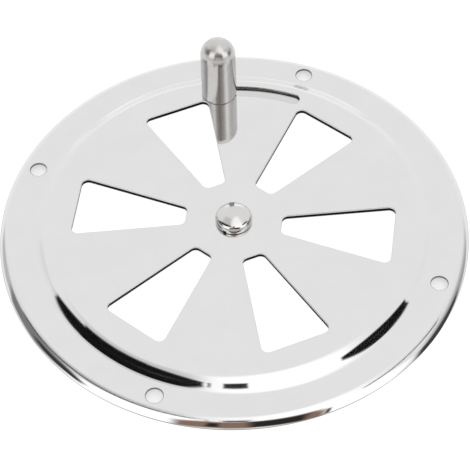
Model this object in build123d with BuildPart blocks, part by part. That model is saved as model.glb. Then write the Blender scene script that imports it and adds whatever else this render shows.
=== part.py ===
from build123d import *
import os
from math import sin, cos, tan, acos, asin, sqrt, radians, degrees

# Round butterfly vent, 126 mm (nominally 5 in), all sizes in mm.
# Frame: origin at the centre of the wall plane that the curled rim stands on,
# +Z out of the wall. The four screw holes lie on the X and Y axes.

# ---- driving dimensions -------------------------------------------------
OUTER_R = 63.1          # outside of the curled rim
SHEET = 0.6             # sheet thickness of both discs
# Bends of the pressed sheet, as tangent arcs from the inside outwards: the radius
# on the upper side, and the slope at the start and the end of the arc, in degrees.
STEP_ARCS = ((1.9, 0, 28.5), (32, 28.5, 31.8), (46, 31.8, 30), (1.9, 30, 0))
RIM_ARCS = ((1.3, 0, 26), (6.1, 26, 53))
STEP_FOOT_R = 54.05     # where the step meets the flat flange
EDGE_ROLL = 0.15        # die roll on the visible edges of the cut-outs

HOLE_PCD = 115.0        # screw holes
HOLE_R = 2.25
HOLE_COUNT = 4

VENT_COUNT = 6
VENT_ANGLE = 12.8       # direction of the first opening's axis from +X
VENT_IN = 12.9          # distance of the opening's short edge from the centre
VENT_OUT = 42.85        # distance of its long edge
VENT_HALF_IN = 2.93     # half lengths of those edges
VENT_HALF_OUT = 9.73
VENT_CORNER = 1.8
VENT_SETBACK = 0.1      # the shutter's openings are this much larger all round

SLOT_R = 46.15          # centre line of the arc slot
SLOT_W = 3.6
SLOT_CLOSED = 89.1      # direction of the slot end used when the vent is shut
SLOT_OPEN = 115.5       # direction of the slot end used when the vent is open

GAP = 0.4               # spacer washer, between the two sheets
SHUTTER_R = 49.4
PLAY = 0.03             # axial play between turning and fixed faces

SHANK_R = 2.5           # rivet
SHANK_HOLE_PLATE_R = 2.55
SHANK_HOLE_SHUTTER_R = 2.57
HEAD_R = 4.98
HEAD_ARCS = ((13, 0, 6), (3.8, 6, 22), (9.5, 22, 35))   # top of the head, as above
HEAD_SIDE = 0.86        # straight side below the shoulder
TAIL_R = 3.7
TAIL_H = 1.0

SPRING_T = 0.3          # curved spring washer on the rivet
SPRING_H = 0.6
SPRING_R = 4.8
BACKING_T = 0.5
BACKING_R = 5.0
WASHER_BORE_R = 2.65
SPACER_R = 6.5

KNOB_R = 4.9            # knob
KNOB_BODY = 15.3        # straight part, below the dome
KNOB_LIFT = 0.08        # hairline between knob and face
KNOB_FOOT = 0.25        # rounded lower edge of the knob
KNOB_BORE_R = 1.5
KNOB_BORE_DEPTH = 8.5

SHOULDER_R = 1.65       # screw
SHOULDER_HOLE_R = 1.75
THREAD_R = 1.45
THREAD_L = 7.5
SCREW_HEAD_R = 2.9
SCREW_HEAD_H = 1.5
LOCK_T = 0.5
LOCK_R = 3.0

# ---- bends of the sheet --------------------------------------------------
def chain(start, arcs):
    """Tangent arcs going outwards and down from a point. Each one is given as its
    radius and the slopes, in degrees, at which it starts and ends. Returns the
    three points of each arc on the upper side and on the underside of the sheet."""
    r, z = start
    out = []
    for radius, a0, a1 in arcs:
        a0, a1 = radians(a0), radians(a1)
        bulge = 1 if a1 > a0 else -1
        cr, cz = r - bulge * radius * sin(a0), z - bulge * radius * cos(a0)
        upper, under = [], []
        for a in (a0, (a0 + a1) / 2, a1):
            upper.append((cr + bulge * radius * sin(a), cz + bulge * radius * cos(a)))
            inner = radius - bulge * SHEET
            under.append((cr + bulge * inner * sin(a), cz + bulge * inner * cos(a)))
        out.append((upper, under))
        r, z = upper[2]
    return out


def drop(arcs):
    """How far a chain of arcs goes down."""
    return sum(abs(radius * (cos(radians(a0)) - cos(radians(a1)))) for radius, a0, a1 in arcs)


def run(arcs):
    """How far it goes outwards."""
    return sum(abs(radius * (sin(radians(a1)) - sin(radians(a0)))) for radius, a0, a1 in arcs)


# ---- levels -------------------------------------------------------------
FLANGE_Z = drop(RIM_ARCS)               # top of the flat flange above the wall
FACE_Z = FLANGE_Z + drop(STEP_ARCS)     # top of the raised face above the wall
FACE_END_R = STEP_FOOT_R - run(STEP_ARCS)
RIM_START_R = OUTER_R - run(RIM_ARCS)
face_under = FACE_Z - SHEET
shutter_top = face_under - GAP
shutter_under = shutter_top - SHEET
spring_top = shutter_under - PLAY
backing_top = spring_top - SPRING_H
tail_top = backing_top - BACKING_T
knob_base = FACE_Z + KNOB_LIFT
lock_top = shutter_under
screw_head_top = lock_top - LOCK_T

# ---- front plate --------------------------------------------------------
# Half section in the plane of r and z. The upper line runs from the centre
# hole over the face, down the step, along the flange and round the rim. The
# lower line is the same one, a sheet thickness inside it.
step = chain((FACE_END_R, FACE_Z), STEP_ARCS)
rim = chain((RIM_START_R, FLANGE_Z), RIM_ARCS)
step_end_r = step[-1][0][2][0]
rim_r, rim_a0, rim_a1 = RIM_ARCS[-1]
rim_in = rim_r - SHEET
rim_c = (rim[-1][0][2][0] - rim_r * sin(radians(rim_a1)), -rim_r * cos(radians(rim_a1)))
rim_in_turn = acos(-rim_c[1] / rim_in)
print("step runs from r", round(FACE_END_R, 2), "to", round(step_end_r, 2),
      "rim from r", round(RIM_START_R, 2), "face", round(FACE_Z, 3), "flange", round(FLANGE_Z, 3))


def on_arc(c, r, a):
    """Point at angle a (radians, from +z towards +r) on a circle in the r-z plane."""
    return (c[0] + r * sin(a), c[1] + r * cos(a))


with BuildPart() as front_plate:
    with BuildSketch(Plane.XZ):
        with BuildLine():
            Line((SHANK_HOLE_PLATE_R, FACE_Z), (FACE_END_R, FACE_Z))
            for upper, under in step:
                ThreePointArc(*upper)
            Line((step_end_r, FLANGE_Z), (RIM_START_R, FLANGE_Z))
            for upper, under in rim:
                ThreePointArc(*upper)
            rim_in_end = on_arc(rim_c, rim_in, rim_in_turn)
            Line(rim[-1][0][2], rim_in_end)
            ThreePointArc(rim_in_end, on_arc(rim_c, rim_in, (rim_in_turn + radians(rim_a0)) / 2), rim[-1][1][0])
            for upper, under in rim[-2::-1]:
                ThreePointArc(*under[::-1])
            Line((RIM_START_R, FLANGE_Z - SHEET), (step_end_r, FLANGE_Z - SHEET))
            for upper, under in step[::-1]:
                ThreePointArc(*under[::-1])
            Line((FACE_END_R, face_under), (SHANK_HOLE_PLATE_R, face_under))
            Line((SHANK_HOLE_PLATE_R, face_under), (SHANK_HOLE_PLATE_R, FACE_Z))
        make_face()
    revolve(axis=Axis.Z)

    # six tapered openings with rounded corners
    with BuildSketch(Plane.XY.offset(face_under - 0.5)) as vents:
        with PolarLocations(0, VENT_COUNT, start_angle=VENT_ANGLE):
            Polygon((VENT_IN, -VENT_HALF_IN), (VENT_OUT, -VENT_HALF_OUT),
                    (VENT_OUT, VENT_HALF_OUT), (VENT_IN, VENT_HALF_IN), align=None)
        fillet(vents.vertices(), VENT_CORNER)
    extrude(amount=SHEET + 1, mode=Mode.SUBTRACT)

    # arc slot for the knob's screw
    with BuildSketch(Plane.XY.offset(face_under - 0.5)):
        SlotArc(CenterArc((0, 0), SLOT_R, SLOT_CLOSED, SLOT_OPEN - SLOT_CLOSED), SLOT_W)
    extrude(amount=SHEET + 1, mode=Mode.SUBTRACT)

    # screw holes in the flange
    with BuildSketch(Plane.XY.offset(FLANGE_Z - SHEET - 0.5)):
        with PolarLocations(HOLE_PCD / 2, HOLE_COUNT):
            Circle(HOLE_R)
    extrude(amount=SHEET + 1, mode=Mode.SUBTRACT)

    # die roll on the visible edges of the openings, the slot and the screw holes
    face_edges = (front_plate.faces().filter_by(GeomType.PLANE).sort_by(Axis.Z)[-1]).inner_wires().edges()
    fillet([e for e in face_edges if e.center().length > 10], EDGE_ROLL)
    hole_edges = [e for e in front_plate.edges().filter_by(GeomType.CIRCLE)
                  if abs(e.radius - HOLE_R) < 0.01 and abs(e.center().Z - FLANGE_Z) < 0.01]
    fillet(hole_edges, EDGE_ROLL)
front_plate.part.label = "front_plate"

# ---- shutter ------------------------------------------------------------
with BuildPart() as shutter:
    with BuildSketch(Plane.XY.offset(shutter_under)):
        Circle(SHUTTER_R)
        Circle(SHANK_HOLE_SHUTTER_R, mode=Mode.SUBTRACT)
        with PolarLocations(SLOT_R, 1, start_angle=SLOT_OPEN):
            Circle(SHOULDER_HOLE_R, mode=Mode.SUBTRACT)
    extrude(amount=SHEET)
    with BuildSketch(Plane.XY.offset(shutter_under - 0.5)) as shutter_vents:
        with PolarLocations(0, VENT_COUNT, start_angle=VENT_ANGLE):
            Polygon((VENT_IN - VENT_SETBACK, -VENT_HALF_IN - VENT_SETBACK),
                    (VENT_OUT + VENT_SETBACK, -VENT_HALF_OUT - VENT_SETBACK),
                    (VENT_OUT + VENT_SETBACK, VENT_HALF_OUT + VENT_SETBACK),
                    (VENT_IN - VENT_SETBACK, VENT_HALF_IN + VENT_SETBACK), align=None)
        fillet(shutter_vents.vertices(), VENT_CORNER)
    extrude(amount=SHEET + 1, mode=Mode.SUBTRACT)
    rim_edges = [e for e in shutter.edges().filter_by(GeomType.CIRCLE) if abs(e.radius - SHUTTER_R) < 0.01]
    chamfer(rim_edges, 0.15)
shutter.part.label = "shutter"

# ---- centre pivot -------------------------------------------------------
# Round-head rivet: crowned head on the face, shank, and the tail formed behind.
shoulder_a = HEAD_ARCS[-1][2]
shoulder_r = (HEAD_R - run(HEAD_ARCS)) / (1 - sin(radians(shoulder_a)))
head_arcs = HEAD_ARCS + ((shoulder_r, shoulder_a, 90),)
head_top = FACE_Z + HEAD_SIDE + drop(head_arcs)
head = chain((0, head_top), head_arcs)
with BuildPart() as pivot_rivet:
    with BuildSketch(Plane.XZ):
        with BuildLine():
            for upper, under in head:
                ThreePointArc(*upper)
            Line(head[-1][0][2], (HEAD_R, FACE_Z))
            Line((HEAD_R, FACE_Z), (SHANK_R, FACE_Z))
            Line((SHANK_R, FACE_Z), (SHANK_R, tail_top))
            Line((SHANK_R, tail_top), (TAIL_R, tail_top))
            Line((TAIL_R, tail_top), (TAIL_R, tail_top - TAIL_H * 0.45))
            Spline((TAIL_R, tail_top - TAIL_H * 0.45), (TAIL_R * 0.55, tail_top - TAIL_H),
                   tangents=[(0, -1), (-1, 0)])
            Line((TAIL_R * 0.55, tail_top - TAIL_H), (0, tail_top - TAIL_H))
            Line((0, tail_top - TAIL_H), (0, head_top))
        make_face()
    revolve(axis=Axis.Z)
pivot_rivet.part.label = "pivot_rivet"

with BuildPart() as spacer_washer:
    with BuildSketch(Plane.XY.offset(shutter_top + PLAY)):
        Circle(SPACER_R)
        Circle(WASHER_BORE_R, mode=Mode.SUBTRACT)
    extrude(amount=GAP - PLAY)
spacer_washer.part.label = "spacer_washer"

# Curved spring washer: a ring cut from a shallow trough, ridge up.
sag = SPRING_H - SPRING_T
trough_r = (SPRING_R ** 2 + sag ** 2) / (2 * sag)
with BuildPart() as spring_washer:
    with BuildSketch(Plane.XZ.offset(-SPRING_R - 1)):
        with BuildLine():
            c = spring_top - trough_r
            w = SPRING_R + 0.5
            a_out = asin(w / trough_r)
            a_in = asin(w / (trough_r - SPRING_T))
            ThreePointArc((-w, c + trough_r * cos(a_out)), (0, spring_top), (w, c + trough_r * cos(a_out)))
            Line((w, c + trough_r * cos(a_out)), (w, c + (trough_r - SPRING_T) * cos(a_in)))
            ThreePointArc((w, c + (trough_r - SPRING_T) * cos(a_in)), (0, spring_top - SPRING_T),
                          (-w, c + (trough_r - SPRING_T) * cos(a_in)))
            Line((-w, c + (trough_r - SPRING_T) * cos(a_in)), (-w, c + trough_r * cos(a_out)))
        make_face()
    extrude(amount=2 * SPRING_R + 2)
    with BuildSketch(Plane.XY.offset(backing_top - 1)):
        Circle(SPRING_R)
        Circle(WASHER_BORE_R, mode=Mode.SUBTRACT)
    extrude(amount=SPRING_H + 3, mode=Mode.INTERSECT)
spring_washer.part.label = "spring_washer"

with BuildPart() as backing_washer:
    with BuildSketch(Plane.XY.offset(tail_top)):
        Circle(BACKING_R)
        Circle(WASHER_BORE_R, mode=Mode.SUBTRACT)
    extrude(amount=BACKING_T)
    outer = [e for e in backing_washer.edges().filter_by(GeomType.CIRCLE) if abs(e.radius - BACKING_R) < 0.01]
    fillet(outer, 0.12)
backing_washer.part.label = "backing_washer"

# ---- knob and its screw -------------------------------------------------
knob_x = SLOT_R * cos(radians(SLOT_OPEN))
knob_y = SLOT_R * sin(radians(SLOT_OPEN))
knob_axis = Axis((knob_x, knob_y, 0), (0, 0, 1))
knob_plane = Plane(origin=(knob_x, knob_y, 0), x_dir=(1, 0, 0), z_dir=(0, -1, 0))
dome_base = knob_base + KNOB_BODY
with BuildPart() as knob:
    with BuildSketch(knob_plane):
        with BuildLine():
            Line((0, knob_base + KNOB_BORE_DEPTH + KNOB_BORE_R * 0.58), (0, dome_base + KNOB_R))
            ThreePointArc((0, dome_base + KNOB_R),
                          (KNOB_R * sin(radians(45)), dome_base + KNOB_R * cos(radians(45))),
                          (KNOB_R, dome_base))
            Line((KNOB_R, dome_base), (KNOB_R, knob_base + KNOB_FOOT))
            ThreePointArc((KNOB_R, knob_base + KNOB_FOOT),
                          (KNOB_R - KNOB_FOOT * (1 - sin(radians(45))), knob_base + KNOB_FOOT * (1 - cos(radians(45)))),
                          (KNOB_R - KNOB_FOOT, knob_base))
            Line((KNOB_R - KNOB_FOOT, knob_base), (KNOB_BORE_R, knob_base))
            Line((KNOB_BORE_R, knob_base), (KNOB_BORE_R, knob_base + KNOB_BORE_DEPTH))
            Line((KNOB_BORE_R, knob_base + KNOB_BORE_DEPTH),
                 (0, knob_base + KNOB_BORE_DEPTH + KNOB_BORE_R * 0.58))
        make_face()
    revolve(axis=knob_axis)
knob.part.label = "knob"

head_bottom = screw_head_top - SCREW_HEAD_H
with BuildPart() as knob_screw:
    with BuildSketch(knob_plane):
        with BuildLine():
            Line((0, head_bottom), (SCREW_HEAD_R - 0.8, head_bottom))
            ThreePointArc((SCREW_HEAD_R - 0.8, head_bottom),
                          (SCREW_HEAD_R - 0.8 * (1 - sin(radians(45))), head_bottom + 0.8 * (1 - cos(radians(45)))),
                          (SCREW_HEAD_R, head_bottom + 0.8))
            Line((SCREW_HEAD_R, head_bottom + 0.8), (SCREW_HEAD_R, screw_head_top))
            Line((SCREW_HEAD_R, screw_head_top), (SHOULDER_R, screw_head_top))
            Line((SHOULDER_R, screw_head_top), (SHOULDER_R, knob_base))
            Line((SHOULDER_R, knob_base), (THREAD_R, knob_base))
            Line((THREAD_R, knob_base), (THREAD_R, knob_base + THREAD_L - 0.4))
            Line((THREAD_R, knob_base + THREAD_L - 0.4), (THREAD_R - 0.4, knob_base + THREAD_L))
            Line((THREAD_R - 0.4, knob_base + THREAD_L), (0, knob_base + THREAD_L))
            Line((0, knob_base + THREAD_L), (0, head_bottom))
        make_face()
    revolve(axis=knob_axis)
    # cross recess in the head
    with BuildSketch(Plane(origin=(knob_x, knob_y, head_bottom), x_dir=(1, 0, 0), z_dir=(0, 0, 1))):
        Rectangle(3.2, 0.75)
        Rectangle(0.75, 3.2)
    extrude(amount=1.0, taper=12, mode=Mode.SUBTRACT)
knob_screw.part.label = "knob_screw"

with BuildPart() as lock_washer:
    with BuildSketch(Plane(origin=(knob_x, knob_y, screw_head_top), x_dir=(1, 0, 0), z_dir=(0, 0, 1))):
        Circle(LOCK_R)
        Circle(SHOULDER_R + 0.1, mode=Mode.SUBTRACT)
        with Locations(((LOCK_R + SHOULDER_R) / 2, 0)):
            Rectangle(2.4, 0.45, rotation=20, mode=Mode.SUBTRACT)
    extrude(amount=LOCK_T)
lock_washer.part.label = "lock_washer"

# ---- files --------------------------------------------------------------
os.makedirs("parts", exist_ok=True)
export_step(front_plate.part, "parts/front_plate.step")
export_step(shutter.part, "parts/shutter.step")
export_step(pivot_rivet.part, "parts/pivot_rivet.step")
export_step(spacer_washer.part, "parts/spacer_washer.step")
export_step(spring_washer.part, "parts/spring_washer.step")
export_step(backing_washer.part, "parts/backing_washer.step")
export_step(knob.part, "parts/knob.step")
export_step(knob_screw.part, "parts/knob_screw.step")
export_step(lock_washer.part, "parts/lock_washer.step")
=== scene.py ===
import math
import bpy
import numpy as np
from mathutils import Matrix, Vector
from mathutils.geometry import delaunay_2d_cdt


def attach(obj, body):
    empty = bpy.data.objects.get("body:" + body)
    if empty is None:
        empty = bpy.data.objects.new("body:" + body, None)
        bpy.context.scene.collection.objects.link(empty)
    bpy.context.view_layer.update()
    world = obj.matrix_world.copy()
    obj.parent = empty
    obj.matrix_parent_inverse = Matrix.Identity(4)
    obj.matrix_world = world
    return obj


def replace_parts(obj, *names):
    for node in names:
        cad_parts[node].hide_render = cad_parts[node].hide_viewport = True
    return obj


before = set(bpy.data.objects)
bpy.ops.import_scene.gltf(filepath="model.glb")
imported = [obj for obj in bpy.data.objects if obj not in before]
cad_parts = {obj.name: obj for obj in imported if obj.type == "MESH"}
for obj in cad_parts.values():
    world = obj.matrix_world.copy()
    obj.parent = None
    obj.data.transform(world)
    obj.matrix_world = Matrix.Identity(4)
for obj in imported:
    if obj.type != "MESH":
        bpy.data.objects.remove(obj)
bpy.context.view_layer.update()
scene = bpy.context.scene
MM = 0.001

# ---- sizes of the part, in mm, as in its source --------------------------
OUTER_R, SHEET, STEP_FOOT_R = 63.1, 0.6, 54.05
STEP_ARCS = ((1.9, 0, 28.5), (32, 28.5, 31.8), (46, 31.8, 30), (1.9, 30, 0))
RIM_ARCS = ((1.3, 0, 26), (6.1, 26, 53))


def chain_drop(arcs):
    return sum(abs(r * (math.cos(math.radians(a)) - math.cos(math.radians(b)))) for r, a, b in arcs)


def chain_run(arcs):
    return sum(abs(r * (math.sin(math.radians(b)) - math.sin(math.radians(a)))) for r, a, b in arcs)


FLANGE_Z = chain_drop(RIM_ARCS)
FACE_Z = FLANGE_Z + chain_drop(STEP_ARCS)
FACE_END_R = STEP_FOOT_R - chain_run(STEP_ARCS)
RIM_START_R = OUTER_R - chain_run(RIM_ARCS)
ROLL = 0.15
HOLE_PCD, HOLE_R = 115.0, 2.25
VENT_ANGLE, VENT_IN, VENT_OUT, VENT_HALF_IN, VENT_HALF_OUT, VENT_CORNER = 12.8, 12.9, 42.85, 2.93, 9.73, 1.8
VENT_SETBACK = 0.1
SLOT_R, SLOT_W, SLOT_CLOSED, SLOT_OPEN = 46.15, 3.6, 89.1, 115.5
GAP, SHUTTER_R = 0.4, 49.4
SHANK_R, SHANK_HOLE_PLATE_R, SHANK_HOLE_SHUTTER_R = 2.5, 2.55, 2.57
HEAD_R, HEAD_SIDE, TAIL_R, TAIL_H = 4.98, 0.86, 3.7, 1.0
HEAD_ARCS = ((13, 0, 6), (3.8, 6, 22), (9.5, 22, 35))
PLAY, SPRING_H, BACKING_T = 0.03, 0.6, 0.5
KNOB_R, KNOB_BODY, KNOB_LIFT, KNOB_FOOT = 4.9, 15.3, 0.08, 0.25
KNOB_BORE_R, KNOB_BORE_DEPTH = 1.5, 8.5
SHOULDER_HOLE_R = 1.75
FACE_UNDER = FACE_Z - SHEET
SHUTTER_TOP = FACE_UNDER - GAP
SHUTTER_UNDER = SHUTTER_TOP - SHEET
TAIL_TOP = SHUTTER_UNDER - PLAY - SPRING_H - BACKING_T
KNOB_BASE = FACE_Z + KNOB_LIFT
KNOB_X = SLOT_R * math.cos(math.radians(SLOT_OPEN))
KNOB_Y = SLOT_R * math.sin(math.radians(SLOT_OPEN))


# ---- meshes with exact normals -------------------------------------------
class Shell:
    """Collects faces whose corners carry the true surface normal, in mm."""

    def __init__(self):
        self.co, self.no, self.faces, self.mats = [], [], [], []

    def grid(self, co, no, closed=True, mat=0):
        """co and no are (rows, columns, 3); columns run around and close up."""
        rows, cols = co.shape[:2]
        base = len(self.co)
        self.co += co.reshape(-1, 3).tolist()
        self.no += no.reshape(-1, 3).tolist()
        j = np.arange(cols if closed else cols - 1)
        k = (j + 1) % cols
        for i in range(rows - 1):
            p = [co[i, j], co[i, k], co[i + 1, k], co[i + 1, j]]
            n = no[i, j] + no[i, k] + no[i + 1, k] + no[i + 1, j]
            face = np.cross(p[2] - p[0], p[3] - p[1])
            out = (face * n).sum(1) > 0
            same = [np.linalg.norm(p[q] - p[q - 1], axis=1) < 1e-6 for q in range(4)]
            a, b = base + i * cols + j, base + i * cols + k
            c, d = base + (i + 1) * cols + k, base + (i + 1) * cols + j
            for t in range(len(j)):
                quad = [q for q, gone in zip((a[t], b[t], c[t], d[t]), (same[0][t], same[1][t], same[2][t], same[3][t])) if not gone]
                if len(quad) > 2:
                    quad = [int(q) for q in quad]
                    self.faces.append(quad if out[t] else quad[::-1])
                    self.mats.append(mat)

    def flat(self, outer, holes, z, up, mat=0):
        """A flat sheet face between an outer loop and its holes."""
        loops = [outer] + holes
        pts, edges = [], []
        for loop in loops:
            start, n = len(pts), len(loop)
            pts += [Vector((float(x), float(y))) for x, y in loop]
            edges += [(start + i, start + (i + 1) % n) for i in range(n)]
        vs, _, tris, _, _, _ = delaunay_2d_cdt(pts, edges, [], 0, 1e-6)
        xy = np.array([(v[0], v[1]) for v in vs])
        tris = np.array(tris)
        mid = xy[tris].mean(1)
        keep = inside(mid, np.array(outer))
        for hole in holes:
            keep &= ~inside(mid, np.array(hole))
        base = len(self.co)
        self.co += [(x, y, z) for x, y in xy]
        self.no += [(0.0, 0.0, 1.0 if up else -1.0)] * len(xy)
        for t in tris[keep]:
            p, q, r = xy[t]
            turn = (q[0] - p[0]) * (r[1] - p[1]) - (q[1] - p[1]) * (r[0] - p[0])
            if abs(turn) < 1e-9:
                continue
            t = [base + int(i) for i in t]
            self.faces.append(t if (turn > 0) == up else t[::-1])
            self.mats.append(mat)

    def build(self, name, materials):
        co = np.array(self.co)
        key = np.round(co / 2e-4).astype(np.int64)
        _, first, index = np.unique(key, axis=0, return_index=True, return_inverse=True)
        index = index.reshape(-1)
        faces, mats, normals, seen = [], [], [], set()
        for f, m in zip(self.faces, self.mats):
            g = [int(index[i]) for i in f]
            if len(set(g)) < len(g) or frozenset(g) in seen:
                continue
            seen.add(frozenset(g))
            faces.append(g)
            mats.append(m)
            normals += [self.no[i] for i in f]
        me = bpy.data.meshes.new(name)
        me.from_pydata((co[first] * MM).tolist(), [], faces)
        me.update()
        for m in materials:
            me.materials.append(m)
        me.polygons.foreach_set("material_index", mats)
        me.polygons.foreach_set("use_smooth", [True] * len(faces))
        me.normals_split_custom_set(normals)
        me.validate()
        o = bpy.data.objects.new(name, me)
        scene.collection.objects.link(o)
        return o


def inside(p, loop):
    """Which points p lie inside a closed loop."""
    a, b = loop, np.roll(loop, -1, 0)
    x, y = p[:, :1], p[:, 1:]
    cross = (a[:, 1] > y) != (b[:, 1] > y)
    with np.errstate(divide="ignore", invalid="ignore"):
        at = (b[:, 0] - a[:, 0]) * (y - a[:, 1]) / (b[:, 1] - a[:, 1]) + a[:, 0]
    return (cross & (x < at)).sum(1) % 2 == 1


def ring(n, r, phase=0.0, centre=(0.0, 0.0)):
    a = np.arange(n) * 2 * math.pi / n + phase
    d = np.stack([np.cos(a), np.sin(a)], 1)
    return d * r + np.array(centre), d


def rounded(corners, radius, steps=14):
    """A polygon with round corners: its points and their directions away from it."""
    pts, dirs, n = [], [], len(corners)
    for i in range(n):
        p0, p, p1 = (np.array(corners[(i + k) % n], float) for k in (-1, 0, 1))
        u, v = (p0 - p) / np.linalg.norm(p0 - p), (p1 - p) / np.linalg.norm(p1 - p)
        half = math.acos(u @ v) / 2
        c = p + (u + v) / np.linalg.norm(u + v) * radius / math.sin(half)
        s, e = p + u * radius / math.tan(half) - c, p + v * radius / math.tan(half) - c
        a0, a1 = math.atan2(s[1], s[0]), math.atan2(e[1], e[0])
        turn = (a1 - a0 + math.pi) % (2 * math.pi) - math.pi
        for k in range(steps + 1):
            a = a0 + turn * k / steps
            d = np.array([math.cos(a), math.sin(a)])
            pts.append(c + radius * d)
            dirs.append(d)
    return np.array(pts), np.array(dirs)


def turned(p, degrees):
    a = math.radians(degrees)
    return p @ np.array([[math.cos(a), math.sin(a)], [-math.sin(a), math.cos(a)]])


def slot_loop(r, width, a0, a1, steps=24):
    """An arc slot with round ends."""
    h, a0, a1 = width / 2, math.radians(a0), math.radians(a1)
    pts, dirs = [], []
    for a in np.linspace(a0, a1, 2 * steps):
        d = np.array([math.cos(a), math.sin(a)])
        pts.append(d * (r + h)), dirs.append(d)
    for centre, start in ((a1, a1), ):
        c = np.array([math.cos(centre), math.sin(centre)]) * r
        for t in np.linspace(0, math.pi, steps)[1:-1]:
            d = np.array([math.cos(start + t), math.sin(start + t)])
            pts.append(c + d * h), dirs.append(d)
    for a in np.linspace(a1, a0, 2 * steps):
        d = np.array([math.cos(a), math.sin(a)])
        pts.append(d * (r - h)), dirs.append(-d)
    c = np.array([math.cos(a0), math.sin(a0)]) * r
    for t in np.linspace(0, math.pi, steps)[1:-1]:
        d = np.array([math.cos(a0 + math.pi + t), math.sin(a0 + math.pi + t)])
        pts.append(c + d * h), dirs.append(d)
    return np.array(pts), np.array(dirs)


def cut(shell, loop, dirs, top, bottom, roll, mat_wall, mat_roll=0, bright=1.0, mat_deep=1):
    """The wall of a cut-out: die roll at the top, then the bright sheared zone, and
    below it the zone where the metal broke. Callers give the walls dark materials, near-black for the broken zone, as
    painted shade."""
    co, no = [], []
    d3 = np.concatenate([dirs, np.zeros((len(dirs), 1))], 1)
    p3 = np.concatenate([loop, np.zeros((len(loop), 1))], 1)
    for t in np.linspace(0, math.pi / 2, 7):
        co.append(p3 + d3 * roll * (1 - math.sin(t)) + np.array([0, 0, top - roll * (1 - math.cos(t))]))
        no.append(-d3 * math.sin(t) + np.array([0, 0, math.cos(t)]))
    shell.grid(np.array(co), np.array(no), mat=mat_roll)
    change = top - roll + (bottom - top + roll) * bright
    for z0, z1, mat in ((top - roll, change, mat_wall), (change, bottom, mat_deep)):
        if z0 - z1 > 1e-6:
            co = np.array([p3 + np.array([0, 0, z]) for z in np.linspace(z0, z1, 3)])
            shell.grid(co, np.array([-d3] * 3), mat=mat)


def revolve(shell, profile, n, centre=(0.0, 0.0), mat=0, phase=0.0):
    """profile is rows of (r, z, normal r, normal z)."""
    _, d = ring(n, 1.0, phase)
    prof = np.array(profile)
    co = np.empty((len(prof), n, 3))
    no = np.empty((len(prof), n, 3))
    co[:, :, 0] = prof[:, :1] * d[:, 0] + centre[0]
    co[:, :, 1] = prof[:, :1] * d[:, 1] + centre[1]
    co[:, :, 2] = prof[:, 1:2]
    no[:, :, 0] = prof[:, 2:3] * d[:, 0]
    no[:, :, 1] = prof[:, 2:3] * d[:, 1]
    no[:, :, 2] = prof[:, 3:4]
    shell.grid(co, no, mat=mat)


def arc(c, r, a0, a1, n, inward=False):
    """Rows along a circle in the r-z plane; angles from +z towards +r."""
    s = -1 if inward else 1
    return [(c[0] + r * math.sin(a), c[1] + r * math.cos(a), s * math.sin(a), s * math.cos(a))
            for a in np.linspace(a0, a1, n)]


# ---- front plate ----------------------------------------------------------
AROUND = 900
RIM_R, RIM_A0, RIM_A1 = RIM_ARCS[-1][0], math.radians(RIM_ARCS[-1][1]), math.radians(RIM_ARCS[-1][2])
RIM_C = (OUTER_R - RIM_R * math.sin(RIM_A1), -RIM_R * math.cos(RIM_A1))
RIM_IN_TURN = math.acos(-RIM_C[1] / (RIM_R - SHEET))


def chain(start, arcs, steps, under=False):
    """Rows of the sheet's section along tangent arcs, on its upper side or its underside."""
    (r, z), rows = start, []
    for (radius, a0, a1), n in zip(arcs, steps):
        a0, a1 = math.radians(a0), math.radians(a1)
        bulge = 1 if a1 > a0 else -1
        c = (r - bulge * radius * math.sin(a0), z - bulge * radius * math.cos(a0))
        far = radius - bulge * SHEET if under else radius
        side = -1 if under else 1
        for a in np.linspace(a0, a1, n)[(1 if rows else 0):]:
            rows.append((c[0] + bulge * far * math.sin(a), c[1] + bulge * far * math.cos(a),
                         side * math.sin(a), side * math.cos(a)))
        r, z = c[0] + bulge * radius * math.sin(a1), c[1] + bulge * radius * math.cos(a1)
    return rows


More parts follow.
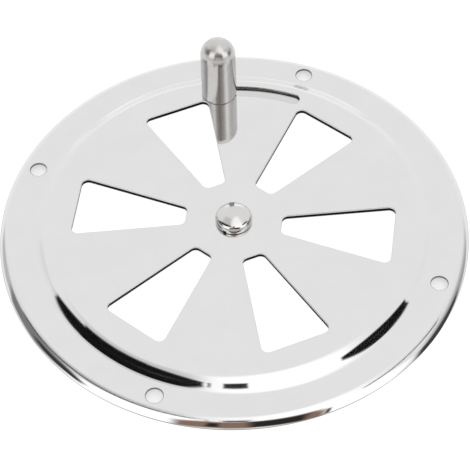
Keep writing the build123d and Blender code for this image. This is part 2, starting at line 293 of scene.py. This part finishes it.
def plate_mesh(materials):
    s = Shell()
    face_outer, _ = ring(AROUND, FACE_END_R)
    bore, bore_dir = ring(120, SHANK_HOLE_PLATE_R)
    corners = [(VENT_IN, -VENT_HALF_IN), (VENT_OUT, -VENT_HALF_OUT), (VENT_OUT, VENT_HALF_OUT), (VENT_IN, VENT_HALF_IN)]
    loop, dirs = rounded(corners, VENT_CORNER)
    cuts = [(turned(loop, VENT_ANGLE + 60 * k), turned(dirs, VENT_ANGLE + 60 * k)) for k in range(6)]
    cuts.append(slot_loop(SLOT_R, SLOT_W, SLOT_CLOSED, SLOT_OPEN))
    s.flat(face_outer, [bore] + [p + d * ROLL for p, d in cuts], FACE_Z, True)
    s.flat(face_outer, [bore] + [p for p, d in cuts], FACE_UNDER, False, mat=2)
    for p, d in cuts:
        cut(s, p, d, FACE_Z, FACE_UNDER, ROLL, 1, 5, 0.6, 3)
    bore3 = np.array([np.c_[bore, np.full(len(bore), z)] for z in (FACE_Z, FACE_UNDER)])
    s.grid(bore3, np.array([np.c_[-bore_dir, np.zeros(len(bore))]] * 2), mat=1)

    # step, outside then inside
    revolve(s, chain((FACE_END_R, FACE_Z), STEP_ARCS, (22, 14, 14, 22)), AROUND)
    revolve(s, chain((FACE_END_R, FACE_Z), STEP_ARCS, (12, 6, 6, 12), under=True), AROUND, mat=2)

    # flange with its screw holes
    f_in, _ = ring(AROUND, STEP_FOOT_R)
    f_out, _ = ring(AROUND, RIM_START_R)
    holes = [ring(72, HOLE_R, 0.0, (HOLE_PCD / 2 * math.cos(a), HOLE_PCD / 2 * math.sin(a)))
             for a in (0, math.pi / 2, math.pi, 1.5 * math.pi)]
    s.flat(f_out, [f_in] + [p + d * ROLL for p, d in holes], FLANGE_Z, True)
    s.flat(f_out, [f_in] + [p for p, d in holes], FLANGE_Z - SHEET, False, mat=2)
    for p, d in holes:
        cut(s, p, d, FLANGE_Z, FLANGE_Z - SHEET, ROLL, 4, 4, 0.3, 4)

    # curled rim
    revolve(s, chain((RIM_START_R, FLANGE_Z), RIM_ARCS, (22, 42)), AROUND)
    inner = RIM_R - SHEET
    revolve(s, [(OUTER_R, 0, 0, -1), (RIM_C[0] + inner * math.sin(RIM_IN_TURN), 0, 0, -1)], AROUND, mat=1)
    revolve(s, chain((RIM_START_R, FLANGE_Z), RIM_ARCS[:1], (10,), under=True), AROUND, mat=2)
    revolve(s, [(r, z, -a, -b) for r, z, a, b in arc(RIM_C, inner, RIM_A0, RIM_IN_TURN, 24)], AROUND, mat=2)
    return s.build("vent_plate", materials)


# ---- shutter ---------------------------------------------------------------
def shutter_mesh(materials):
    s = Shell()
    g = VENT_SETBACK
    corners = [(VENT_IN - g, -VENT_HALF_IN - g), (VENT_OUT + g, -VENT_HALF_OUT - g),
               (VENT_OUT + g, VENT_HALF_OUT + g), (VENT_IN - g, VENT_HALF_IN + g)]
    loop, dirs = rounded(corners, VENT_CORNER)
    cuts = [(turned(loop, VENT_ANGLE + 60 * k), turned(dirs, VENT_ANGLE + 60 * k)) for k in range(6)]
    cuts.append(ring(96, SHANK_HOLE_SHUTTER_R))
    cuts.append(ring(48, SHOULDER_HOLE_R, 0.0, (KNOB_X, KNOB_Y)))
    outer, _ = ring(720, SHUTTER_R - 0.15)
    s.flat(outer, [p + d * 0.08 for p, d in cuts], SHUTTER_TOP, True)
    s.flat(outer, [p for p, d in cuts], SHUTTER_UNDER, False)
    for p, d in cuts:
        cut(s, p, d, SHUTTER_TOP, SHUTTER_UNDER, 0.08, 1, 1)
    q = math.sqrt(0.5)
    revolve(s, [(SHUTTER_R - 0.15, SHUTTER_TOP, q, q), (SHUTTER_R, SHUTTER_TOP - 0.15, q, q)], 720, mat=1)
    revolve(s, [(SHUTTER_R, SHUTTER_TOP - 0.15, 1, 0), (SHUTTER_R, SHUTTER_UNDER + 0.15, 1, 0)], 720, mat=1)
    revolve(s, [(SHUTTER_R, SHUTTER_UNDER + 0.15, q, -q), (SHUTTER_R - 0.15, SHUTTER_UNDER, q, -q)], 720, mat=1)
    return s.build("vent_shutter", materials)


# ---- rivet and knob --------------------------------------------------------
def rivet_mesh(materials):
    s = Shell()
    last = HEAD_ARCS[-1][2]
    bend = (HEAD_R - chain_run(HEAD_ARCS)) / (1 - math.sin(math.radians(last)))
    arcs = HEAD_ARCS + ((bend, last, 90),)
    revolve(s, chain((0.0, FACE_Z + HEAD_SIDE + chain_drop(arcs)), arcs, (12, 20, 20, 40)), 240)
    revolve(s, [(HEAD_R, FACE_Z + HEAD_SIDE, 1, 0), (HEAD_R, FACE_Z, 1, 0)], 240)
    revolve(s, [(HEAD_R, FACE_Z, 0, -1), (SHANK_R, FACE_Z, 0, -1)], 240, mat=1)
    revolve(s, [(SHANK_R, FACE_Z, 1, 0), (SHANK_R, TAIL_TOP, 1, 0)], 240, mat=1)
    revolve(s, [(SHANK_R, TAIL_TOP, 0, 1), (TAIL_R, TAIL_TOP, 0, 1)], 240, mat=1)
    revolve(s, [(TAIL_R, TAIL_TOP, 1, 0), (TAIL_R, TAIL_TOP - TAIL_H * 0.45, 1, 0)], 240, mat=1)
    rows, a, b = [], TAIL_R * 0.45, TAIL_H * 0.55
    for t in np.linspace(math.pi / 2, 0, 16):
        n = np.array([math.sin(t) / a, -math.cos(t) / b])
        n /= np.linalg.norm(n)
        rows.append((TAIL_R * 0.55 + a * math.sin(t), TAIL_TOP - TAIL_H * 0.45 - b * math.cos(t), n[0], n[1]))
    revolve(s, rows, 240, mat=1)
    revolve(s, [(TAIL_R * 0.55, TAIL_TOP - TAIL_H, 0, -1), (0, TAIL_TOP - TAIL_H, 0, -1)], 240, mat=1)
    return s.build("vent_rivet", materials)


def knob_mesh(materials):
    s = Shell()
    dome = KNOB_BASE + KNOB_BODY
    kc = (KNOB_X, KNOB_Y)
    revolve(s, arc((0, dome), KNOB_R, 0, math.pi / 2, 56), 240, kc)
    rows = [(KNOB_R, z, 1, 0) for z in np.linspace(dome, KNOB_BASE + KNOB_FOOT, 24)]
    revolve(s, rows, 240, kc)
    revolve(s, arc((KNOB_R - KNOB_FOOT, KNOB_BASE + KNOB_FOOT), KNOB_FOOT, math.pi / 2, math.pi, 10), 240, kc)
    revolve(s, [(KNOB_R - KNOB_FOOT, KNOB_BASE, 0, -1), (KNOB_BORE_R, KNOB_BASE, 0, -1)], 240, kc, mat=1)
    revolve(s, [(KNOB_BORE_R, KNOB_BASE, -1, 0), (KNOB_BORE_R, KNOB_BASE + KNOB_BORE_DEPTH, -1, 0)], 240, kc, mat=1)
    n = np.array([-0.58, -1.0]) / math.hypot(0.58, 1)
    revolve(s, [(KNOB_BORE_R, KNOB_BASE + KNOB_BORE_DEPTH, n[0], n[1]),
                (0, KNOB_BASE + KNOB_BORE_DEPTH + KNOB_BORE_R * 0.58, n[0], n[1])], 240, kc, mat=1)
    return s.build("vent_knob", materials)


# ---- materials -------------------------------------------------------------
def shader(name):
    m = bpy.data.materials.new(name)
    m.use_nodes = True
    nt = m.node_tree
    nt.nodes.clear()
    out = nt.nodes.new("ShaderNodeOutputMaterial")
    b = nt.nodes.new("ShaderNodeBsdfPrincipled")
    nt.links.new(b.outputs[0], out.inputs[0])
    return m, nt, b


def node(nt, kind, **sockets):
    n = nt.nodes.new(kind)
    for k, v in sockets.items():
        if k in n.inputs:
            n.inputs[k].default_value = v
        else:
            setattr(n, k, v)
    return n


def link(nt, a, out, b, inp):
    nt.links.new(a.outputs[out], b.inputs[inp])


def ramp(nt, src, out, stops):
    r = nt.nodes.new("ShaderNodeValToRGB")
    e = r.color_ramp.elements
    while len(e) > 1:
        e.remove(e[-1])
    e[0].position, e[0].color = stops[0][0], (*stops[0][1], 1)
    for p, c in stops[1:]:
        x = e.new(p)
        x.color = (*c, 1)
    nt.links.new(src.outputs[out], r.inputs[0])
    return r


def grey(v, tint=(1, 1, 1)):
    return tuple(v * t for t in tint)


def steel(name, tone, rough, stretch=(1, 1, 1), fine=9000.0, depth=0.0, wave=0.0, smudge=0.03, metallic=1.0, tint=(1, 1, 1),
          turned_finish=0.0):
    """Stainless steel: base tone, cloudy wear, fine scratches stretched along one axis and slight waves."""
    m, nt, b = shader(name)
    b.inputs["Metallic"].default_value = metallic
    co = nt.nodes.new("ShaderNodeTexCoord")
    mp = node(nt, "ShaderNodeMapping")
    mp.inputs["Scale"].default_value = stretch
    link(nt, co, "Object", mp, "Vector")
    cloud = node(nt, "ShaderNodeTexNoise", Scale=140.0, Detail=4.0, Roughness=0.6)
    link(nt, co, "Object", cloud, "Vector")
    tone_ramp = ramp(nt, cloud, "Fac", [(0.35, grey(tone * (1 - smudge), tint)), (0.65, grey(tone * (1 + smudge), tint))])
    link(nt, tone_ramp, "Color", b, "Base Color")
    scratch = node(nt, "ShaderNodeTexNoise", Scale=fine, Detail=2.0, Roughness=0.5)
    link(nt, mp, "Vector", scratch, "Vector")
    mix = node(nt, "ShaderNodeMath", operation="MULTIPLY_ADD")
    mix.inputs[1].default_value = rough * 0.5
    mix.inputs[2].default_value = rough * 0.75
    link(nt, scratch, "Fac", mix, 0)
    link(nt, mix, "Value", b, "Roughness")
    last = None
    if depth > 0:
        bump = node(nt, "ShaderNodeBump", Strength=1.0, Distance=depth)
        link(nt, scratch, "Fac", bump, "Height")
        last = bump
    if wave > 0:
        long_wave = node(nt, "ShaderNodeTexNoise", Scale=28.0, Detail=1.0)
        link(nt, co, "Object", long_wave, "Vector")
        bump = node(nt, "ShaderNodeBump", Strength=1.0, Distance=wave)
        link(nt, long_wave, "Fac", bump, "Height")
        if last:
            link(nt, last, "Normal", bump, "Normal")
        last = bump
    if last:
        link(nt, last, "Normal", b, "Normal")
    if turned_finish:
        # marks of the lathe run round the piece and spread its reflections along it
        around = node(nt, "ShaderNodeTangent", direction_type="RADIAL", axis="Z")
        link(nt, around, "Tangent", b, "Tangent")
        b.inputs["Anisotropic"].default_value = turned_finish
        b.inputs["Anisotropic Rotation"].default_value = 0.25
    return m


m_plate = steel("plate_polished", 0.70, 0.045, smudge=0.01, depth=0.0, wave=2e-6)


def axis_distance(nt):
    """How far a point is from the part's axis, in metres, and the node that has its x, y and z."""
    co = nt.nodes.new("ShaderNodeTexCoord")
    xyz = nt.nodes.new("ShaderNodeSeparateXYZ")
    link(nt, co, "Object", xyz, 0)
    xx = node(nt, "ShaderNodeMath", operation="MULTIPLY")
    link(nt, xyz, "X", xx, 0), link(nt, xyz, "X", xx, 1)
    yy = node(nt, "ShaderNodeMath", operation="MULTIPLY_ADD")
    link(nt, xyz, "Y", yy, 0), link(nt, xyz, "Y", yy, 1), link(nt, xx, "Value", yy, 2)
    r = node(nt, "ShaderNodeMath", operation="SQRT")
    link(nt, yy, "Value", r, 0)
    return r, xyz


def span(nt, src, out, *stops):
    """A smooth grey value along stops of (metres, value)."""
    lo, hi = stops[0][0], stops[-1][0]
    at = node(nt, "ShaderNodeMapRange")
    link(nt, src, out, at, "Value")
    at.inputs["From Min"].default_value, at.inputs["From Max"].default_value = lo, hi
    return ramp(nt, at, "Result", [((p - lo) / (hi - lo), (v, v, v)) for p, v in stops])


def times(nt, a, b, b_socket):
    """Multiply the colour that goes into a socket by another node's colour."""
    before = b_socket.links[0].from_socket
    mul = node(nt, "ShaderNodeMix", data_type="RGBA", blend_type="MULTIPLY")
    mul.inputs[0].default_value = 1.0
    nt.links.new(before, mul.inputs[6])
    link(nt, a, b, mul, 7)
    nt.links.new(mul.outputs[2], b_socket)


# the drawn step's far half carries a painted sheen, its colour lifted to stand in for a brighter reflection there, and
# the lowest edge of the curl is darkened as a painted contact shadow
nt = m_plate.node_tree
base = next(n for n in nt.nodes if n.type == "BSDF_PRINCIPLED").inputs["Base Color"]
away, xyz = axis_distance(nt)
drawn = span(nt, away, "Value", (0.0503, 0.0), (0.0512, 1.0), (0.0525, 1.0), (0.0532, 0.0))
side = node(nt, "ShaderNodeVectorMath", operation="DOT_PRODUCT")
link(nt, nt.nodes.new("ShaderNodeTexCoord"), "Object", side, 0)
side.inputs[1].default_value = (-math.sin(math.radians(21.7)), math.cos(math.radians(21.7)), 0.0)
far = span(nt, side, "Value", (0.036, 0.0), (0.046, 1.0))
far_step_sheen_mask = node(nt, "ShaderNodeMix", data_type="RGBA", blend_type="MULTIPLY")
far_step_sheen_mask.inputs[0].default_value = 1.0
link(nt, drawn, "Color", far_step_sheen_mask, 6), link(nt, far, "Color", far_step_sheen_mask, 7)
# painted highlight: the colour of the step's far half is raised by up to 16 percent
painted_sheen_lift = ramp(nt, far_step_sheen_mask, 2, [(0.0, (1.0, 1.0, 1.0)), (1.0, (1.16, 1.16, 1.16))])
times(nt, painted_sheen_lift, "Color", base)
# painted contact shadow: the curl's colour is darkened to 0.82 within 0.4 mm of the floor
painted_contact_shade = span(nt, xyz, "Z", (0.0, 0.82), (0.00016, 0.82), (0.0004, 1.0))
times(nt, painted_contact_shade, "Color", base)
# both there and where the curl begins it is also less smooth
shine = next(n for n in nt.nodes if n.type == "BSDF_PRINCIPLED").inputs["Roughness"]
curl = span(nt, away, "Value", (0.0602, 0.0), (0.0606, 1.0), (0.0611, 1.0), (0.0616, 0.0))
for mask, out, more in ((far_step_sheen_mask, 2, 0.2), (curl, "Color", 0.16)):
    add = node(nt, "ShaderNodeMath", operation="MULTIPLY_ADD")
    link(nt, mask, out, add, 0)
    add.inputs[1].default_value = more
    nt.links.new(shine.links[0].from_socket, add.inputs[2])
    nt.links.new(add.outputs[0], shine)

m_edge = steel("plate_cut_edge", 0.6, 0.3, stretch=(1, 1, 6), fine=2500.0, depth=4e-6, smudge=0.12)
m_roll = steel("plate_die_roll", 0.6, 0.18, smudge=0.05, depth=1e-6)
m_under = steel("plate_underside", 0.55, 0.22, smudge=0.06, depth=1e-6)
m_shut = steel("shutter_sheet", 0.6, 0.08, smudge=0.03, wave=3e-6)
# the broken zone is dull metal, but its near-black tone is painted shade for the shadowed gap behind the far walls
m_broken_edge_shade = steel("plate_broken_edge_painted_shade", 0.012, 0.5, stretch=(1, 1, 5), fine=2500.0, depth=4e-6, smudge=0.3)
# painted shade: the screw holes' walls and rolls are darkened to 0.22 to stand for the shade inside the holes
m_hole_wall_shade = steel("hole_wall_painted_shade", 0.22, 0.35, stretch=(1, 1, 5), fine=2500.0, depth=4e-6, smudge=0.2)
# the shutter's cut edges are sheared metal with a darker burr, and their near-black tone is also painted shade for the
# shadowed gap
m_shut_edge_shade = steel("shutter_cut_edge_painted_shade", 0.01, 0.55, stretch=(1, 1, 5), fine=2500.0, depth=4e-6, smudge=0.15)
m_rivet = steel("rivet_head", 0.62, 0.08, smudge=0.03, wave=2e-6, tint=(1.0, 0.99, 0.975))
nt = m_rivet.node_tree
_, xyz = axis_distance(nt)
# painted shadow: the rivet head's lowest 0.18 mm is darkened to 6 percent, a dark contact line where it sits on the
# plate
rivet_foot_painted_shadow = span(nt, xyz, "Z", (FACE_Z * MM, 0.06), (FACE_Z * MM + 0.00018, 0.06), (FACE_Z * MM + 0.00034, 1.0))
times(nt, rivet_foot_painted_shadow, "Color", next(n for n in nt.nodes if n.type == "BSDF_PRINCIPLED").inputs["Base Color"])
m_rivet_back = steel("rivet_shank", 0.5, 0.3, smudge=0.08, depth=2e-6)
m_knob = steel("knob_turned", 0.56, 0.22, stretch=(1, 1, 30), fine=600.0, depth=2e-6, smudge=0.05,
               tint=(1.0, 0.98, 0.955), turned_finish=0.85)
m_knob_in = steel("knob_bore", 0.35, 0.4, smudge=0.1, depth=3e-6)
m_screw = steel("screw_plain", 0.55, 0.28, smudge=0.08, depth=2e-6)
m_spring = steel("spring_temper", 0.42, 0.3, smudge=0.1, depth=2e-6)
m_washer = steel("washer_stamped", 0.52, 0.32, smudge=0.1, depth=3e-6)

m_nylon, nt, b = shader("nylon_natural")
cl = node(nt, "ShaderNodeTexNoise", Scale=900.0, Detail=3.0)
co = nt.nodes.new("ShaderNodeTexCoord")
link(nt, co, "Object", cl, "Vector")
r = ramp(nt, cl, "Fac", [(0.3, (0.62, 0.6, 0.54)), (0.7, (0.7, 0.68, 0.62))])
link(nt, r, "Color", b, "Base Color")
b.inputs["Roughness"].default_value = 0.5
bp = node(nt, "ShaderNodeBump", Strength=0.4, Distance=5e-6)
link(nt, cl, "Fac", bp, "Height")
link(nt, bp, "Normal", b, "Normal")

# ---- pieces ----------------------------------------------------------------
plate = plate_mesh([m_plate, m_edge, m_under, m_broken_edge_shade, m_hole_wall_shade, m_roll])
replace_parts(plate, "front_plate"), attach(plate, "cover"), plate
shut = shutter_mesh([m_shut, m_shut_edge_shade])
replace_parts(shut, "shutter"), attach(shut, "shutter_disc"), shut
rivet = rivet_mesh([m_rivet, m_rivet_back])
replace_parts(rivet, "pivot_rivet"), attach(rivet, "cover"), rivet
knob = knob_mesh([m_knob, m_knob_in])
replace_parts(knob, "knob"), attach(knob, "shutter_disc"), knob

for name, m in (("spacer_washer", m_nylon), ("spring_washer", m_spring), ("backing_washer", m_washer),
                ("knob_screw", m_screw), ("lock_washer", m_spring)):
    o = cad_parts[name]
    o.data.materials.clear()
    o.data.materials.append(m)

# ---- camera ----------------------------------------------------------------
# The photograph's view, in the part's frame: 52.4 degrees above the flange's plane,
# 0.5 m away, rolled slightly, with the object's centre a little high and left.
F, D, EL, ROLL_CAM = 1857.0, 499.561, math.radians(52.375), math.radians(-1.673)
OX, OY, CX, CY, TURN = 233.9, 224.9, 235.0, 235.0, math.radians(21.7)
c, s = math.cos(EL), math.sin(EL)
view_axes = np.array([[1, 0, 0], [0, -s, -c], [0, c, -s]])          # right, down, forward
rz = np.array([[math.cos(ROLL_CAM), -math.sin(ROLL_CAM), 0], [math.sin(ROLL_CAM), math.cos(ROLL_CAM), 0], [0, 0, 1]])
aim = np.array([(OX - CX) / F, (OY - CY) / F, 1.0])
aim /= np.linalg.norm(aim)
axis = np.cross([0, 0, 1], aim)
sin_a, cos_a = np.linalg.norm(axis), aim[2]
axis /= sin_a
k = np.array([[0, -axis[2], axis[1]], [axis[2], 0, -axis[0]], [-axis[1], axis[0], 0]])
rm = np.eye(3) + sin_a * k + (1 - cos_a) * k @ k
axes = rm @ rz @ view_axes
centre = -D * np.array([0, c, -s])
spin = np.array([[math.cos(TURN), -math.sin(TURN), 0], [math.sin(TURN), math.cos(TURN), 0], [0, 0, 1]])
cam_x, cam_y, cam_z = spin @ axes[0], spin @ -axes[1], spin @ -axes[2]
at = (spin @ centre + np.array([0, 0, FLANGE_Z])) * MM
cam_data = bpy.data.cameras.new("view")
cam_data.sensor_width = 36.0
cam_data.sensor_fit = "HORIZONTAL"
cam_data.lens = F / 470.0 * 36.0
cam_data.clip_start, cam_data.clip_end = 0.01, 20.0
cam = bpy.data.objects.new("view", cam_data)
scene.collection.objects.link(cam)
m4 = Matrix.Identity(4)
for i in range(3):
    m4[i][0], m4[i][1], m4[i][2], m4[i][3] = cam_x[i], cam_y[i], cam_z[i], at[i]
cam.matrix_world = m4
scene.camera = cam

# ---- studio ----------------------------------------------------------------
def floor_mesh():
    me = bpy.data.meshes.new("studio_floor")
    n, size = 48, 3.0
    ringv = [(math.cos(2 * math.pi * i / n) * size, math.sin(2 * math.pi * i / n) * size, -2e-5) for i in range(n)]
    me.from_pydata(ringv, [], [tuple(range(n))])
    o = bpy.data.objects.new("studio_floor", me)
    scene.collection.objects.link(o)
    m, nt, b = shader("floor_pale")
    tc = nt.nodes.new("ShaderNodeTexCoord")
    no = node(nt, "ShaderNodeTexNoise", Scale=6.0, Detail=2.0)
    link(nt, tc, "Object", no, "Vector")
    r = ramp(nt, no, "Fac", [(0.3, (0.19, 0.19, 0.19)), (0.7, (0.2, 0.2, 0.2))])
    link(nt, r, "Color", b, "Base Color")
    away, _ = axis_distance(nt)
    # painted shade: under the flange the floor's glow is halved and its albedo tripled, so the floor seen through the
    # screw holes reads darker; elsewhere the floor glows evenly
    shade = span(nt, away, "Value", (0.0535, 1.0), (0.0545, 3.0), (0.0615, 3.0), (0.0625, 1.0))
    times(nt, shade, "Color", b.inputs["Base Color"])
    flange_ring_dimmed_glow = span(nt, away, "Value", (0.0535, 1.0), (0.0545, 0.5), (0.0615, 0.5), (0.0625, 1.0))
    link(nt, flange_ring_dimmed_glow, "Color", b, "Emission Color")
    b.inputs["Roughness"].default_value = 0.9
    b.inputs["Specular IOR Level"].default_value = 0.0
    b.inputs["Emission Strength"].default_value = 0.92
    me.materials.append(m)
    return o


floor_mesh()

# ---- light: a world of soft panels with the dark gaps between them --------
# Directions are laid out flat around the zenith, in degrees, in the photograph's
# frame: x to the right, y away from the viewer.
world = bpy.data.worlds.new("studio")
scene.world = world
world.use_nodes = True
wt = world.node_tree
wt.nodes.clear()


def calc(op, *args, clamp=False):
    n = wt.nodes.new("ShaderNodeMath")
    n.operation, n.use_clamp = op, clamp
    for i, a in enumerate(args):
        if isinstance(a, (int, float)):
            n.inputs[i].default_value = a
        else:
            wt.links.new(a, n.inputs[i])
    return n.outputs[0]


def soft(value, lo, hi):
    """0 below lo, 1 above hi, smooth between."""
    n = wt.nodes.new("ShaderNodeMapRange")
    n.interpolation_type = "SMOOTHSTEP"
    wt.links.new(value, n.inputs["Value"])
    n.inputs["From Min"].default_value, n.inputs["From Max"].default_value = lo, hi
    return n.outputs["Result"]


w_dir = wt.nodes.new("ShaderNodeTexCoord")
w_split = wt.nodes.new("ShaderNodeSeparateXYZ")
wt.links.new(w_dir.outputs["Generated"], w_split.inputs[0])
ct, st = math.cos(TURN), math.sin(TURN)
dx = calc("ADD", calc("MULTIPLY", w_split.outputs[0], ct), calc("MULTIPLY", w_split.outputs[1], st))
dy = calc("SUBTRACT", calc("MULTIPLY", w_split.outputs[1], ct), calc("MULTIPLY", w_split.outputs[0], st))
flat_len = calc("MAXIMUM", calc("SQRT", calc("ADD", calc("MULTIPLY", dx, dx), calc("MULTIPLY", dy, dy))), 1e-5)
tilt = calc("MULTIPLY", calc("ARCCOSINE", w_split.outputs[2], clamp=False), 180 / math.pi)
PX = calc("MULTIPLY", calc("DIVIDE", dx, flat_len), tilt)
PY = calc("MULTIPLY", calc("DIVIDE", dy, flat_len), tilt)


def beside(p, q, width):
    """1 on the left of the line from p to q, with an edge that is width degrees soft."""
    ux, uy = q[0] - p[0], q[1] - p[1]
    length = math.hypot(ux, uy)
    ux, uy = ux / length, uy / length
    d = calc("ADD", calc("MULTIPLY", PX, -uy), calc("MULTIPLY_ADD", PY, ux, uy * p[0] - ux * p[1]))
    return soft(d, -width / 2, width / 2)


def patch(corners, width=3.0):
    """A convex patch of the sky; width is one number, or one for each side."""
    n, out = len(corners), None
    for i in range(n):
        w = width[i] if isinstance(width, (tuple, list)) else width
        e = beside(corners[i], corners[(i + 1) % n], w)
        out = e if out is None else calc("MINIMUM", out, e)
    return out


def both(*parts):
    out = parts[0]
    for p in parts[1:]:
        out = calc("MAXIMUM", out, p)
    return out


def blend(base, top, amount):
    """Mix two colours, each a number or a socket or an rgb tuple, by a socket."""
    n = wt.nodes.new("ShaderNodeMix")
    n.data_type = "RGBA"
    wt.links.new(amount, n.inputs["Factor"])
    for value, name in ((base, 6), (top, 7)):
        if isinstance(value, (int, float)):
            n.inputs[name].default_value = (value, value, value, 1)
        elif isinstance(value, tuple):
            n.inputs[name].default_value = (*value, 1)
        else:
            wt.links.new(value, n.inputs[name])
    return n.outputs[2]


def band(cx, cy, r0, r1, a0, a1, width=2.5, end=3.0):
    """Part of a ring around (cx, cy), from angle a0 to a1 (degrees, at most 180 apart)."""
    qx, qy = calc("SUBTRACT", PX, cx), calc("SUBTRACT", PY, cy)
    d = calc("SQRT", calc("ADD", calc("MULTIPLY", qx, qx), calc("MULTIPLY", qy, qy)))
    out = calc("MINIMUM", soft(d, r0 - width / 2, r0 + width / 2),
               calc("SUBTRACT", 1.0, soft(d, r1 - width / 2, r1 + width / 2)))
    for a, s in ((a0, 1), (a1, -1)):
        c, n = math.cos(math.radians(a)), math.sin(math.radians(a))
        side = calc("ADD", calc("MULTIPLY", qy, s * c), calc("MULTIPLY", qx, -s * n))
        out = calc("MINIMUM", out, soft(side, -end / 2, end / 2))
    return out


GREY, BRIGHT, WHITE, DARK = 1.075, 1.46, 1.6, 0.008
BROWN = (0.32, 0.205, 0.16)
# the overhead panel, dimmer towards the left, and the bright panels on the viewer's side
sky = blend(GREY, 0.80, patch([(-12, -40), (-8, 2), (-34, 16), (-60, -6)], 24))
sky = blend(sky, BRIGHT, patch([(7, 18), (-11, -18), (-6, -60), (50, -60), (40, -15)], (22, 12, 20, 20, 22)))
sky = blend(sky, WHITE, patch([(-70, -75), (-9, -90), (-9, -29), (-50, -17), (-75, -20)], 6))
sky = blend(sky, WHITE, patch([(5, -95), (80, -60), (64, -14), (38, -16), (5, -14)], 8))
# low down the surface that the part lies on shines from the viewer's side
near = patch([(-110, -110), (110, -110), (110, 30), (-110, 30)], 40)
sky = blend(sky, 1.3, calc("MINIMUM", soft(tilt, 78, 92), near))
sky = blend(sky, 1.45, calc("MINIMUM", soft(tilt, 79, 84), patch([(-26, 62), (26, 62), (32, 130), (-32, 130)], 14)))
# left: the gap beside the overhead panel, and the dim stand with a dark core that it runs into
gap = band(5, 35, 61.65, 68.1, 197.2, 255.3, 2.0, 2.0)
gap = calc("MINIMUM", gap, calc("MAXIMUM", beside((-11.79, -27.76), (-28.59, -17.06), 1.8), beside((-28.8, -17.4), (5, 35), 2.0)))
gap = calc("MINIMUM", gap, calc("MAXIMUM", beside((-47.95, 0.99), (-54.25, 12.29), 1.8), beside((5, 35), (-48.3, 0.8), 2.0)))
gap = calc("MAXIMUM", gap, calc("MULTIPLY", patch([(-10.6, -28.4), (-10.6, -36), (-9.3, -36), (-9.3, -28.4)], 1.0), 0.8))
sky = blend(sky, 0.66, patch([(-60, 16), (-61, 40), (-66, 54), (-76, 52), (-80, 36), (-80, 16)], 9))
sky = blend(sky, 0.27, patch([(-52, -8), (-56, 12), (-66, 27), (-86, 24), (-85, -4), (-66, -30), (-57, -27)], 8))
sky = blend(sky, 0.05, patch([(-57, -14), (-66, 0), (-74, 2), (-76, -8), (-66, -27), (-60, -26)], 6))
sky = blend(sky, DARK, gap)
# right: the narrow gap and the second stand
sky = blend(sky, DARK, both(patch([(37.25, -20.78), (55.99, 4.29), (52.75, 6.72), (34.0, -18.35)], 1.2),
                            patch([(51.8, -1.31), (57.43, 6.22), (53.51, 9.15), (48.56, 1.11)], 1.2)))
sky = blend(sky, 0.5, patch([(64, 2), (66, -6), (98, -6), (98, 46), (68, 46)], 20))
sky = blend(sky, 0.07, patch([(68, -14), (79, -24), (97, -20), (97, 16), (78, 20)], 9))
# viewer's side: whoever took the photograph, and the camera
person = both(patch([(-13, -36), (26, -36), (33, -43), (42, -66), (-32, -66), (-24, -44)][::-1], 8),
              patch([(-5.0, -29.1), (3.0, -29.1), (3.0, -36), (-5.0, -36)][::-1], 1.2))
sky = blend(sky, BROWN, person)
sky = blend(sky, 0.03, both(patch([(3, -38), (24, -40), (30, -64), (4, -64)][::-1], 6),
                            patch([(-11, -43), (-7, -43), (-9, -60), (-15, -60)][::-1], 3),
                            patch([(33, -43), (35, -43), (41, -58), (39, -60)][::-1], 2),
                            patch([(-5.0, -29.1), (3.0, -29.1), (3.0, -34), (-5.0, -34)][::-1], 1.2)))
sky = blend(sky, 0.55, band(0, 25, 95, 112, 190, 350, 2.5, 10.0))

w_out = wt.nodes.new("ShaderNodeOutputWorld")
w_bg = wt.nodes.new("ShaderNodeBackground")
wt.links.new(sky, w_bg.inputs["Color"])
wt.links.new(w_bg.outputs[0], w_out.inputs[0])

scene.view_settings.view_transform = "Standard"
scene.view_settings.look = "None"
scene.view_settings.exposure = 0.0
scene.view_settings.gamma = 1.0
